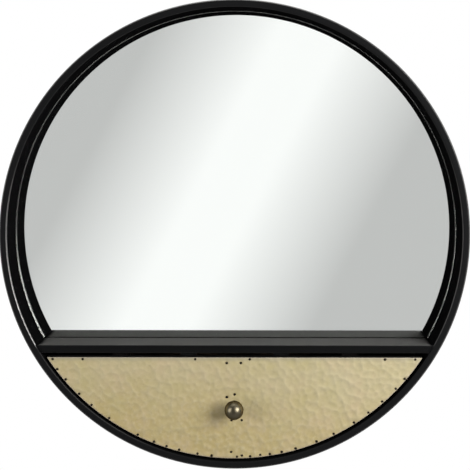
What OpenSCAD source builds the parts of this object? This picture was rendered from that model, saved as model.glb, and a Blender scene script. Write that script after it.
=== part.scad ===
// Round wall mirror with a shelf and one drawer.
//
// Every piece is drawn as if the mirror lay on its back on a bench: X to the right, Y up the wall,
// Z the distance out from the wall, with Z = 0 on the wall and the hoops' centre at X = Y = 0.
// hang() then stands it up: Z up, the front towards -Y, and the origin midway between the two
// keyholes in the plane of the wall.

/* [Hoops] */
// Outside diameter of the round frame
outer_d = 600; // [540:10:760]
// Width of the tube face that shows from the front
tube_face = 10; // [8:0.5:14]
// Depth of the tube, from the front to the mirror
hoop_depth = 50; // [40:1:70]
// Depth of the flat band behind the hoop, down to the wall
band_depth = 50; // [44:1:90]
// Thickness of the band
band_t = 2.5; // [2:0.1:4]
// How far the outside of the band lies in from the outside of the hoop
band_inset = 1; // [0:0.1:2]
// Wall thickness of the tube
tube_wall = 1.2; // [1:0.1:2]
// Radius of the tube's outside corners
tube_corner = 1.6; // [0.8:0.1:3]

/* [Mirror] */
// Thickness of the glass
glass_t = 4; // [3:0.5:6]
// Gap between the band and the edges of the glass, its board and the back panel
edge_gap = 2; // [1.8:0.1:3]
// Thickness of the foam tape behind the glass
tape_t = 1; // [0.5:0.1:2]
// Width of each strip of tape
tape_w = 20; // [12:1:30]
// Length of each strip of tape
tape_l = 240; // [120:10:280]
// Number of strips of tape
tape_rows = 4; // [2:1:6]
// Thickness of the board behind the glass
mirror_board_t = 9; // [6:0.5:12]
// Thickness of the rubber pads under the glass
pad_t = 1; // [0.5:0.1:3]
// Length of each rubber pad
pad_l = 20; // [10:1:40]
// Distance of the outer pads from the middle one
pad_pitch = 150; // [80:5:200]

/* [Back] */
// Thickness of the back panel
panel_t = 5; // [4.5:0.5:9]
// Width of a tab
tab_w = 24; // [16:1:40]
// How far a tab reaches in from the band
tab_reach = 22; // [18:1:30]
// Length of a tab's root along the band
tab_root = 8; // [5:0.5:12]
// Thickness of a tab
tab_t = 1.5; // [1:0.1:1.6]
// Distance of a tab's screw from the band
tab_screw_in = 14; // [11:0.5:16]
// Depth that a tab's screw goes into the board
tab_screw_bite = 3.5; // [2:0.1:4]

/* [Hangers] */
// Angle of each keyhole up from the horizontal, seen from the centre of the hoops
hanger_angle = 45; // [35:1:60]
// Distance of the keyholes in from the band
hanger_inset = 27.8; // [25:0.1:30]
// Width of a hanger plate
hanger_w = 44; // [36:1:60]
// Height of a hanger plate
hanger_h = 50; // [40:1:60]
// Thickness of a hanger plate
hanger_t = 2; // [1.5:0.1:3]
// Radius of the hole that the screw head goes in by
entry_r = 4.5; // [4:0.1:6]
// Width of the slot that the screw hangs in
slot_w = 4.6; // [4.2:0.1:5.4]
// Height of the slot's top end above the entry hole
slot_rise = 12; // [8:0.5:16]
// Room for the screw head between a hanger plate and the back panel
head_room = 7; // [6:0.5:12]

/* [Shelf] */
// Distance from the centre of the hoops down to the top of the shelf
shelf_drop = 140; // [110:1:160]
// Thickness of the flat bar behind the shelf's tube
shelf_bar_t = 5; // [3:0.5:6]

/* [Drawer front] */
// Gap between the drawer front and the hoop
front_gap = 3.5; // [1:0.1:6]
// Gap between the drawer front and the shelf
shelf_gap = 6; // [2:0.5:10]
// How far the front of the sheet lies behind the front of the hoop
front_recess = 1; // [0:0.1:5]
// Thickness of the brass sheet
sheet_t = 0.8; // [0.5:0.1:1.5]
// Thickness of the board behind the sheet
front_board_t = 12; // [9:0.5:18]
// Diameter of a tack's head
tack_head_d = 3.3; // [2:0.1:5]
// Height of a tack's head
tack_head_h = 0.8; // [0.5:0.1:1.5]
// Diameter of a tack's shank
tack_shank_d = 1.2; // [0.8:0.1:1.8]
// Length of a tack's shank
tack_l = 9; // [6:0.5:9.5]
// Distance of the tacks from the edge of the sheet
tack_inset = 2.2; // [1.8:0.1:6]

/* [Knob] */
// Height of the knob above the lower edge of the drawer box
knob_rise = 21; // [18:0.5:24]
// Diameter of the ball
ball_d = 24; // [16:0.5:32]
// Distance from the sheet to the centre of the ball
ball_stand = 20; // [18:0.5:30]
// Diameter of the foot
foot_d = 15; // [12:0.5:20]
// Thickness of the foot
foot_t = 2; // [1:0.5:4]
// Diameter of the neck at its thinnest
neck_d = 8; // [7:0.5:10]
// Radius of the knob's screw
knob_screw_r = 2; // [1.5:0.1:2.5]
// Depth that the screw goes into the knob
knob_bite = 10; // [6:0.5:14]
// Diameter of the washer
washer_d = 12; // [10:0.5:16]
// Thickness of the washer
washer_t = 1; // [0.6:0.1:1.6]

/* [Drawer box] */
// Outside width of the box
box_w = 300; // [240:2:320]
// Thickness of the boards of the box
box_board = 9; // [7:0.5:12]
// Room between the box and the back panel
box_rear_gap = 7; // [4:0.5:12]
// Thickness of the bottom of the box
bottom_t = 4; // [3:0.5:6]
// Height of the bottom above the lower edge of the box
bottom_rise = 6; // [4:0.5:12]
// Depth of the grooves that hold the bottom
groove_depth = 4; // [2:0.5:5]
// How far the raised middle of the box's back laps the stops
stop_lap = 3; // [2:0.1:3.5]
// Width of that raised middle
raise_w = 180; // [160:5:200]
// Width between the outer front screws
front_screw_span = 200; // [120:5:210]
// Distance of the front screws from the box's upper edge and from its bottom
front_screw_inset = 10; // [6:0.5:12]
// Length of a front screw
front_screw_l = 16; // [12:0.5:18]
// Length of a nail in the corners of the box
pin_l = 25; // [18:0.5:30]
// Diameter of a nail in the corners of the box
pin_d = 1.6; // [1.2:0.1:2.2]

/* [Runners] */
// Thickness of the runner steel
runner_t = 2; // [1.5:0.1:3]
// Height of the runner's upright
runner_h = 25; // [12:1:35]
// How far the runner's foot reaches under the box
runner_under = 14; // [8:0.5:20]
// How far past the box the runner's foot meets the hoop
weld_reach = 9.5; // [7:0.5:14]
// Sideways play of the box in the runners, each side
side_play = 1; // [0.4:0.1:2]
// Running gap above and below the box, and in front of the runners
running_gap = 0.3; // [0.2:0.1:0.8]
// Height of the strips under the shelf that keep the drawer level
kicker_h = 9.7; // [9:0.1:12]
// Width of those strips
kicker_w = 20; // [14:1:30]
// Thickness of the drawer stops
stop_t = 1.5; // [1:0.1:2.5]
// Width of a drawer stop
stop_w = 20; // [14:1:30]
// Length of a drawer stop along the shelf's depth
stop_l = 16; // [14:1:24]
// Distance of the stops from the middle of the drawer
stop_offset = 60; // [40:1:65]
// Distance of the stops behind the drawer front's board
stop_setback = 4.4; // [2:0.1:8]

/* [Hidden] */
inner_r = outer_d / 2 - tube_face;
band_outer_r = outer_d / 2 - band_inset;
band_inner_r = band_outer_r - band_t;
board_r = band_inner_r - edge_gap;
front_plane = band_depth + hoop_depth;
eps = 0.01;

// Levels above the wall: the back panel, and the board and glass that lie against the hoop
panel_back = hanger_t + head_room;
panel_front = panel_back + panel_t;
glass_back = band_depth - glass_t;
mirror_board_back = glass_back - tape_t - mirror_board_t;

// Keyholes
hanger_rise = (band_inner_r - hanger_inset) * sin(hanger_angle);
hanger_half = (band_inner_r - hanger_inset) * cos(hanger_angle);

// Mirror: the glass and its board stand on the bar behind the shelf
shelf_under = shelf_drop + tube_face;
bar_top = -shelf_under + shelf_bar_t;
glass_bottom = bar_top + pad_t;
tape_margin = 30;

// Tabs, by their angles up from the right: round the board above the shelf, and round the back panel
board_tab_angles = [0 : 45 : 180];
panel_tab_angles = [22.5 : 45 : 337.5];

// Screws of the tabs and of the stops, which are alike
screw_r = 1.75;
screw_head_r = 4;
screw_head_h = 2.2;
head_flatness = 1.3;
recess_w = 0.9;
recess_l = 4.4;
recess_depth = 1.1;
hole_play = 0.3;
stop_screw_l = 8;

// Drawer front
front_r = inner_r - front_gap;
front_drop = shelf_under + shelf_gap;
front_half = sqrt(pow(front_r, 2) - pow(front_drop, 2));
front_half_angle = acos(front_drop / front_r);
sheet_front = front_plane - front_recess;
sheet_back = sheet_front - sheet_t;
board_back = sheet_back - front_board_t;

// Places of the tacks, set by hand as on the real front: along the arc and along the top edge as
// shares of half their length from the middle, round the knob and at the middle's top and bottom in mm
arc_tacks = [
    -0.93, -0.87, -0.78, -0.705, -0.605, -0.455, -0.375, -0.315, -0.255, -0.17, -0.105,
    0.01, 0.07, 0.16, 0.215, 0.28, 0.38, 0.465, 0.57, 0.65, 0.73, 0.815, 0.875
];
top_tacks = [-0.97, -0.81, -0.21, 0.08, 0.8, 0.96];
knob_tacks = [[-10, 12], [0, 15.5], [-4, -18], [9, -18]];
upper_tacks = [-10, 8];
upper_tack_drop = 7;
lower_tack = [-4.5, 8.5];

// Box
box_half = box_w / 2;
inside_half = box_half - box_board;
runner_under_drop = sqrt(pow(inner_r, 2) - pow(box_half + weld_reach, 2));
runner_top = -(runner_under_drop - runner_t);
box_low = runner_top + running_gap;
kicker_low = -shelf_under - kicker_h;
box_top = kicker_low - running_gap;
box_rear = panel_front + box_rear_gap;
box_front_back = board_back - box_board;
groove_play = 0.2;
kicker_overhang = 3;
bottom_low = box_low + bottom_rise;
runner_front = board_back - running_gap;
kicker_in = inside_half - kicker_overhang;
front_screw_r = 1.8;
front_screw_head_r = 3.6;
front_screw_head_h = 2;
pin_head_r = 1.5;
pin_head_h = 0.8;
pin_inset = 14;
knob_drop = -(box_low + knob_rise);
knob_head_r = 4;
knob_head_h = 2.6;

// Stops: the raised middle of the box's back meets them, and the box's front passes under them
stop_front = board_back - stop_setback;
stop_over_front = 2;
stop_low = box_top + stop_over_front;
travel = stop_front - stop_t - (box_rear + box_board) - running_gap;

steel_black = [0.06, 0.06, 0.065];
zinc = [0.62, 0.63, 0.64];
mdf = [0.55, 0.42, 0.29];
box_wood = [0.24, 0.19, 0.15];

// Stands the bench drawing up against the wall
module hang() {
    translate([0, 0, -hanger_rise]) rotate([90, 0, 0]) children();
}

// A box given by its lowest and highest corners
module block(low, high) {
    translate(low) cube(high - low);
}

// ---- steel tube -------------------------------------------------------------------------------

// Outline of a tube with rounded corners, tube_face wide and depth deep
module tube_outline(depth) {
    c = tube_corner;
    translate([c, 0]) square([tube_face - 2 * c, depth]);
    translate([0, c]) square([tube_face, depth - 2 * c]);
    for (x = [c, tube_face - c], y = [c, depth - c])
        translate([x, y]) circle(r = c, $fn = 32);
}

module tube_section(depth) {
    difference() {
        tube_outline(depth);
        translate([tube_wall, tube_wall])
            square([tube_face - 2 * tube_wall, depth - 2 * tube_wall]);
    }
}

module front_hoop() {
    color(steel_black) hang() translate([0, 0, band_depth])
        rotate_extrude($fn = 180) translate([inner_r, 0]) tube_section(hoop_depth);
}

module rear_band() {
    color(steel_black) hang()
        rotate_extrude($fn = 180) translate([band_inner_r, 0]) square([band_t, band_depth]);
}

// Straight tube across the hoop, coped to its inner wall
module shelf_tube() {
    color(steel_black) hang() difference() {
        intersection() {
            translate([-inner_r, -shelf_under, band_depth])
                rotate([90, 0, 90]) linear_extrude(2 * inner_r) tube_section(hoop_depth);
            cylinder(r = inner_r, h = front_plane, $fn = 180);
        }
        at_stops() stop_screw();
    }
}

// Flat bar behind it, coped to the band, that carries the mirror and closes the drawer's bay
module shelf_rear_bar() {
    color(steel_black) hang() intersection() {
        block([-band_inner_r, -shelf_under, panel_front], [band_inner_r, bar_top, band_depth]);
        cylinder(r = band_inner_r, h = band_depth, $fn = 180);
    }
}

// ---- mirror -----------------------------------------------------------------------------------

// Disc of radius r without what lies below the level low
module disc_above(r, low) {
    intersection() {
        circle(r = r, $fn = 180);
        translate([-r, low]) square([2 * r, r - low]);
    }
}

module mirror_glass() {
    color([0.86, 0.89, 0.9]) hang()
        translate([0, 0, glass_back]) linear_extrude(glass_t) disc_above(board_r, glass_bottom);
}

module mirror_tape() {
    pitch = (board_r - tape_margin - glass_bottom) / tape_rows;
    color("white") hang()
        for (i = [0 : tape_rows - 1])
            translate([-tape_l / 2, glass_bottom + (i + 0.5) * pitch - tape_w / 2, glass_back - tape_t])
                cube([tape_l, tape_w, tape_t]);
}

module setting_pads() {
    color([0.12, 0.12, 0.12]) hang()
        for (i = [-1 : 1])
            translate([i * pad_pitch - pad_l / 2, bar_top, glass_back])
                cube([pad_l, pad_t, glass_t]);
}

module mirror_board() {
    color(mdf) hang() difference() {
        translate([0, 0, mirror_board_back])
            linear_extrude(mirror_board_t) disc_above(board_r, bar_top);
        tab_screw_set(board_tab_angles, mirror_board_back);
    }
}

// ---- back -------------------------------------------------------------------------------------

// Cross cut into a screw's head from Z = 0 up
module cross_recess() {
    for (a = [0, 90])
        rotate(a) translate([-recess_l / 2, -recess_w / 2, -eps])
            cube([recess_l, recess_w, recess_depth + eps]);
}

// Low round head with a cross recess, on the side towards -Z, and its shank towards +Z
module pan_screw(shank_r, shank_l, head_r, head_h) {
    cap_r = head_flatness * (pow(head_r, 2) + pow(head_h, 2)) / (2 * head_h);
    cylinder(r = shank_r, h = shank_l, $fn = 32);
    difference() {
        intersection() {
            translate([0, 0, -head_h]) cylinder(r = head_r, h = head_h, $fn = 48);
            translate([0, 0, cap_r - head_h]) sphere(r = cap_r, $fn = 96);
        }
        translate([0, 0, -head_h]) cross_recess();
    }
}

// Tabs bent over the board whose back is at this level: the root on the band, the leg on the board
module tab_set(angles, level) {
    for (a = angles) rotate(a) difference() {
        intersection() {
            union() {
                block([band_inner_r - tab_reach, -tab_w / 2, level - tab_t], [band_inner_r, tab_w / 2, level]);
                block([band_inner_r - tab_t, -tab_w / 2, level - tab_t],
                      [band_inner_r, tab_w / 2, level + tab_root]);
            }
            cylinder(r = band_inner_r, h = band_depth, $fn = 180);
        }
        translate([band_inner_r - tab_screw_in, 0, level - tab_t - eps])
            cylinder(r = screw_r + hole_play, h = tab_t + 2 * eps, $fn = 32);
    }
}

module tab_screw_set(angles, level) {
    for (a = angles) rotate(a) translate([band_inner_r - tab_screw_in, 0, level - tab_t])
        pan_screw(screw_r, tab_t + tab_screw_bite, screw_head_r, screw_head_h);
}

module board_tabs() {
    color(steel_black) hang() tab_set(board_tab_angles, mirror_board_back);
}

module board_screws() {
    color(zinc) hang() tab_screw_set(board_tab_angles, mirror_board_back);
}

module back_panel() {
    color(mdf) hang() difference() {
        translate([0, 0, panel_back]) cylinder(r = board_r, h = panel_t, $fn = 180);
        tab_screw_set(panel_tab_angles, panel_back);
    }
}

module panel_tabs() {
    color(steel_black) hang() tab_set(panel_tab_angles, panel_back);
}

module panel_screws() {
    color(zinc) hang() tab_screw_set(panel_tab_angles, panel_back);
}

// Keyhole plate, trimmed to the band that it is welded to; side is -1 or 1
module hanger(side) {
    color(steel_black) hang() linear_extrude(hanger_t) difference() {
        intersection() {
            circle(r = band_inner_r, $fn = 180);
            translate([side * hanger_half - hanger_w / 2, hanger_rise - hanger_h / 2])
                square([hanger_w, hanger_h]);
        }
        translate([side * hanger_half, hanger_rise]) {
            circle(r = entry_r, $fn = 48);
            translate([-slot_w / 2, 0]) square([slot_w, slot_rise]);
            translate([0, slot_rise]) circle(d = slot_w, $fn = 32);
        }
    }
}

module hanger_left() {
    hanger(-1);
}

module hanger_right() {
    hanger(1);
}

// ---- what carries the drawer ------------------------------------------------------------------

// T bar on the right, its foot under the box and trimmed to the hoop
module runner_solid() {
    upright = box_half + side_play;
    intersection() {
        block([box_half - runner_under, runner_top - runner_t, panel_front],
              [inner_r, runner_top, runner_front]);
        cylinder(r = inner_r, h = front_plane, $fn = 180);
    }
    block([upright, runner_top, panel_front], [upright + runner_t, runner_top + runner_h, runner_front]);
}

module runner_left() {
    color(steel_black) hang() mirror([1, 0, 0]) runner_solid();
}

module runner_right() {
    color(steel_black) hang() runner_solid();
}

module kicker_solid() {
    block([kicker_in, kicker_low, panel_front], [kicker_in + kicker_w, -shelf_under, runner_front]);
}

module kicker_left() {
    color([0.14, 0.11, 0.09]) hang() mirror([1, 0, 0]) kicker_solid();
}

module kicker_right() {
    color([0.14, 0.11, 0.09]) hang() kicker_solid();
}

// One copy of the children at each stop, with the stop's own middle at X = 0
module at_stops() {
    for (side = [-1, 1])
        translate([side * stop_offset, 0, 0]) children();
}

// Screw up through the stop's flange into the shelf
module stop_screw() {
    translate([0, -shelf_under - stop_t, stop_front - stop_t - (stop_l - stop_t) / 2])
        rotate([-90, 0, 0]) pan_screw(screw_r, stop_screw_l, screw_head_r, screw_head_h);
}

module drawer_stops() {
    color(steel_black) hang() at_stops() difference() {
        union() {
            block([-stop_w / 2, stop_low, stop_front - stop_t], [stop_w / 2, -shelf_under, stop_front]);
            block([-stop_w / 2, -shelf_under - stop_t, stop_front - stop_l],
                  [stop_w / 2, -shelf_under, stop_front]);
        }
        stop_screw();
    }
}

module stop_screws() {
    color(zinc) hang() at_stops() stop_screw();
}

// ---- drawer front -----------------------------------------------------------------------------

// Segment of a disc below the shelf
module front_outline() {
    intersection() {
        circle(r = front_r, $fn = 180);
        translate([-front_r, -front_r]) square([2 * front_r, front_r - front_drop]);
    }
}

// One copy of the children at each tack, with Z = 0 on the wall
module at_tacks() {
    for (share = arc_tacks)
        rotate(share * front_half_angle) translate([0, tack_inset - front_r, 0]) children();
    for (share = top_tacks)
        translate([share * front_half, -front_drop - tack_inset, 0]) children();
    for (place = knob_tacks)
        translate([place.x, place.y - knob_drop, 0]) children();
    for (x = upper_tacks)
        translate([x, -front_drop - upper_tack_drop, 0]) children();
    translate([lower_tack.x, lower_tack.y - front_r, 0]) children();
}

// Tack with a domed head on the sheet and its shank in the board
module tack() {
    cap_r = (pow(tack_head_d / 2, 2) + pow(tack_head_h, 2)) / (2 * tack_head_h);
    translate([0, 0, sheet_front - tack_l]) cylinder(d = tack_shank_d, h = tack_l, $fn = 16);
    intersection() {
        translate([0, 0, sheet_front]) cylinder(d = tack_head_d, h = tack_head_h, $fn = 24);
        translate([0, 0, sheet_front + tack_head_h - cap_r]) sphere(r = cap_r, $fn = 48);
    }
}

// Holes that the tacks' shanks fill, in the sheet and the board
module tack_holes() {
    at_tacks() translate([0, 0, sheet_front - tack_l])
        cylinder(d = tack_shank_d, h = tack_l + eps, $fn = 16);
}

// Machine screw from inside the box through to the knob
module knob_screw_solid() {
    head = box_front_back - washer_t;
    translate([0, -knob_drop, head])
        pan_screw(knob_screw_r, sheet_front + knob_bite - head, knob_head_r, knob_head_h);
}

// Clearance hole for the knob's screw through the box, the board and the sheet
module knob_hole() {
    translate([0, -knob_drop, box_front_back - eps])
        cylinder(r = knob_screw_r + hole_play, h = sheet_front - box_front_back + 2 * eps, $fn = 32);
}

// One copy of the children at each front screw, on the inner face of the box's front
module at_front_screws() {
    lower = bottom_low + bottom_t + groove_play + front_screw_inset;
    upper = box_top - front_screw_inset;
    for (x = [-1, 1], y = [lower, upper])
        translate([x * front_screw_span / 2, y, box_front_back]) children();
}

module countersunk_body() {
    cylinder(r = front_screw_r, h = front_screw_l, $fn = 24);
    cylinder(r1 = front_screw_head_r, r2 = front_screw_r, h = front_screw_head_h, $fn = 48);
}

// Countersunk screw from inside the box into the front board
module front_screw() {
    difference() {
        countersunk_body();
        cross_recess();
    }
}

module front_board() {
    color([0.1, 0.09, 0.085]) hang() difference() {
        translate([0, 0, board_back]) linear_extrude(front_board_t) front_outline();
        tack_holes();
        at_front_screws() countersunk_body();
        knob_hole();
    }
}

module front_sheet() {
    color([0.73, 0.66, 0.5]) hang() difference() {
        translate([0, 0, sheet_back]) linear_extrude(sheet_t) front_outline();
        tack_holes();
        knob_hole();
    }
}

module sheet_tacks() {
    color([0.16, 0.12, 0.08]) hang() at_tacks() tack();
}

// Ball on a coved neck and a round foot
module knob() {
    cove_r = (foot_d - neck_d) / 2;
    color([0.42, 0.36, 0.28]) hang() difference() {
        translate([0, -knob_drop, sheet_front]) {
            cylinder(d = foot_d, h = foot_t, $fn = 64);
            cylinder(d = neck_d, h = ball_stand, $fn = 48);
            translate([0, 0, foot_t]) rotate_extrude($fn = 64) difference() {
                square([foot_d / 2, cove_r]);
                translate([foot_d / 2, cove_r]) circle(r = cove_r, $fn = 48);
            }
            translate([0, 0, ball_stand]) sphere(d = ball_d, $fn = 96);
        }
        translate([0, -knob_drop, sheet_front - eps])
            cylinder(r = knob_screw_r, h = knob_bite + eps, $fn = 32);
    }
}

module knob_screw() {
    color(zinc) hang() knob_screw_solid();
}

module knob_washer() {
    color(zinc) hang() translate([0, -knob_drop, box_front_back - washer_t]) difference() {
        cylinder(d = washer_d, h = washer_t, $fn = 48);
        translate([0, 0, -eps]) cylinder(r = knob_screw_r + hole_play, h = washer_t + 2 * eps, $fn = 32);
    }
}

module front_screws() {
    color(zinc) hang() at_front_screws() front_screw();
}

// ---- drawer box -------------------------------------------------------------------------------

// Groove for the bottom, cut in all four boards
module bottom_groove() {
    reach = inside_half + groove_depth;
    block([-reach, bottom_low, box_rear + box_board - groove_depth],
          [reach, bottom_low + bottom_t + groove_play, box_front_back + groove_depth]);
}

// Nails through the sides into the ends of the box's front and back
module pin_set() {
    for (side = [-1, 1], y = [box_low + pin_inset, box_top - pin_inset],
         z = [box_rear + box_board / 2, board_back - box_board / 2])
        translate([side * box_half, y, z]) rotate([0, -90 * side, 0]) {
            cylinder(d = pin_d, h = pin_l, $fn = 16);
            cylinder(r = pin_head_r, h = pin_head_h, $fn = 24);
        }
}

module box_side_solid() {
    difference() {
        block([inside_half, box_low, box_rear], [box_half, box_top, board_back]);
        bottom_groove();
        pin_set();
    }
}

module box_side_left() {
    color(box_wood) hang() mirror([1, 0, 0]) box_side_solid();
}

module box_side_right() {
    color(box_wood) hang() box_side_solid();
}

module box_front() {
    color(box_wood) hang() difference() {
        block([-inside_half, box_low, box_front_back], [inside_half, box_top, board_back]);
        bottom_groove();
        pin_set();
        at_front_screws() countersunk_body();
        knob_hole();
    }
}

module box_back() {
    back_front = box_rear + box_board;
    color(box_wood) hang() difference() {
        union() {
            block([-inside_half, box_low, box_rear], [inside_half, box_top, back_front]);
            block([-raise_w / 2, box_top - eps, box_rear],
                  [raise_w / 2, stop_low + stop_lap, back_front]);
        }
        bottom_groove();
        pin_set();
    }
}

module box_bottom() {
    reach = inside_half + groove_depth - groove_play;
    color([0.32, 0.26, 0.2]) hang()
        block([-reach, bottom_low, box_rear + box_board - groove_depth + groove_play],
              [reach, bottom_low + bottom_t, box_front_back + groove_depth - groove_play]);
}

module box_pins() {
    color(zinc) hang() pin_set();
}

front_hoop();
rear_band();
shelf_tube();
shelf_rear_bar();
mirror_glass();
mirror_tape();
mirror_board();
setting_pads();
board_tabs();
board_screws();
back_panel();
panel_tabs();
panel_screws();
hanger_left();
hanger_right();
runner_left();
runner_right();
kicker_left();
kicker_right();
drawer_stops();
stop_screws();
front_board();
front_sheet();
sheet_tacks();
knob();
knob_screw();
knob_washer();
front_screws();
box_front();
box_back();
box_side_left();
box_side_right();
box_bottom();
box_pins();
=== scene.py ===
# %% [markdown]
# # A round wall mirror with a shelf and one drawer
#
# The real object is a welded frame of black steel: a deep hoop of rectangular tube, a straight tube
# across it that serves as a shelf, and a flat band behind them down to the wall. A silvered glass lies
# 50 mm behind the front of the hoop, and a drawer with a hammered brass front fills the segment below
# the shelf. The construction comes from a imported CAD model. This lesson gives it its looks.
#
# The frame is loaded first, because the sizes below are read from it: a look that takes its sizes from
# its pieces still fits after they change.

# %% Load the frame
from math import acos, asin, atan2, cos, degrees, exp, hypot, pi, radians, sin, sqrt

import bmesh
import bpy
import numpy as np
from mathutils import Matrix, Vector


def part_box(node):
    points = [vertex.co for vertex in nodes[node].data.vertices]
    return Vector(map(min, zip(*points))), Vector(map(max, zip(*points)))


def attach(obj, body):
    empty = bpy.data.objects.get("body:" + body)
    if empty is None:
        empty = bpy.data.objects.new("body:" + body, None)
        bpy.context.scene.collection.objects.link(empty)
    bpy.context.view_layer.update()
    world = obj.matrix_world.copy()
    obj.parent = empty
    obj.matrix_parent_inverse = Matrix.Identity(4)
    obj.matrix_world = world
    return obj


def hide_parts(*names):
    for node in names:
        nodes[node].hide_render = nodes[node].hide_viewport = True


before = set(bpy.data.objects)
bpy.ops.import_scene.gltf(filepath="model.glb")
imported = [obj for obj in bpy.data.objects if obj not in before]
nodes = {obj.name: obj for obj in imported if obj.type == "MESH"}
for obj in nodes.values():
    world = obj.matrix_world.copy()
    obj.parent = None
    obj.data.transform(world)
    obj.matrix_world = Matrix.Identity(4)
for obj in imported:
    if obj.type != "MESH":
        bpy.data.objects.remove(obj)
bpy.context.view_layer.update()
scene = bpy.context.scene

# %% [markdown]
# ## Sizes that several pieces share
#
# A millimetre is the maker's unit and a metre is the scene's, so small sizes are written as `3 * MM`.
# The box of a node gives its lowest and highest corner. From the boxes of the hoop, the shelf and the
# drawer front come the circle that all the round work follows and the levels of the front faces. A
# point less than `FLUSH` from a plane counts as on it.

# %% Sizes from the frame
MM = 0.001
FLUSH = 0.05 * MM

hoop_low, hoop_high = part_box("front_hoop")
shelf_low, shelf_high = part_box("shelf_tube")
sheet_low, sheet_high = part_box("front_sheet")
glass_low, glass_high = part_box("mirror_glass")

outer_r = (hoop_high.x - hoop_low.x) / 2
centre_z = (hoop_high.z + hoop_low.z) / 2
tube_face = shelf_high.z - shelf_low.z
inner_r = outer_r - tube_face
front_y, hoop_back_y = hoop_low.y, hoop_high.y
tube_depth = hoop_back_y - front_y
shelf_depth = shelf_high.y - shelf_low.y
sheet_front_y, sheet_back_y = sheet_low.y, sheet_high.y
sheet_r = centre_z - sheet_low.z
sheet_top = sheet_high.z - centre_z
corner_r = 2.3 * MM
print("outer radius", round(outer_r, 4), "inner radius", round(inner_r, 4), "front", round(front_y, 4))

# %% [markdown]
# ## The camera
#
# The photograph looks straight on from about a metre and a half, a little above the middle of the
# object. The place and the lens were found by matching four circles whose real sizes are known: the
# outside and inside of the hoop, the rear edge of its inner wall and the arc of the drawer front. A
# downward shift keeps the camera almost level, so that the hoop stays round.

# %% Camera
CAMERA_PLACE = Vector((0.0405, -1.4959, -0.0497))
CAMERA_YAW = radians(-0.366)
CAMERA_PITCH = radians(-2.317)
CAMERA_ROLL = radians(0.015)
CAMERA_LENS = 84.34
CAMERA_SHIFT = (-0.0515, -0.1378)

camera_data = bpy.data.cameras.new("camera")
camera_data.lens = CAMERA_LENS
camera_data.shift_x, camera_data.shift_y = CAMERA_SHIFT
camera = bpy.data.objects.new("camera", camera_data)
scene.collection.objects.link(camera)
camera.location = CAMERA_PLACE
ahead = Vector((sin(CAMERA_YAW) * cos(CAMERA_PITCH),
                cos(CAMERA_YAW) * cos(CAMERA_PITCH),
                sin(CAMERA_PITCH)))
camera.rotation_mode = "QUATERNION"
turn = ahead.to_track_quat("-Z", "Y").to_matrix() @ Matrix.Rotation(CAMERA_ROLL, 3, "Z")
camera.rotation_quaternion = turn.to_quaternion()
scene.camera = camera
scene.view_settings.view_transform = "Standard"
print("camera at", [round(v, 3) for v in camera.location])

# %% [markdown]
# ## Writing shader maths as expressions
#
# A finish is a small graph of nodes. `Socket` wraps one output and overloads the operators, so that
# `1 - mask * 0.5` adds the Math nodes that say so. Colours go through `blend`, because a Math node
# would turn them grey.
#
# `Finish` owns one node tree. Its `node` method makes any shader node from its kind, the values or
# links of its sockets, and its settings, which are set first because they can change the sockets.

# %% Sockets and finishes
BEVEL_SAMPLES = 4
EDGE_GAIN = 6


def operator(operation, flipped=False):
    """A method that adds the Math node for two inputs."""
    def method(self, other):
        return self.math(operation, *((other, self) if flipped else (self, other)))
    return method


class Socket:
    """One output of a node, with arithmetic that adds Math nodes to its tree."""

    def __init__(self, finish, output):
        self.finish = finish
        self.output = output

    def math(self, operation, *operands):
        return self.finish.node("Math", dict(enumerate(operands)), operation=operation)

    __add__ = __radd__ = operator("ADD")
    __mul__ = __rmul__ = operator("MULTIPLY")
    __sub__ = operator("SUBTRACT")
    __rsub__ = operator("SUBTRACT", flipped=True)
    __truediv__ = operator("DIVIDE")
    __pow__ = operator("POWER")
    above = operator("GREATER_THAN")
    below = operator("LESS_THAN")

    def __abs__(self):
        return self.math("ABSOLUTE", self)

    def clamped(self):
        return self.math("MINIMUM", self.math("MAXIMUM", self, 0.0), 1.0)

    def steps_up(self, low, high):
        """0 below low, 1 above high and a smooth rise between them."""
        return self.finish.node("MapRange", {"Value": self, "From Min": low, "From Max": high},
                                interpolation_type="SMOOTHSTEP")


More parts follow.
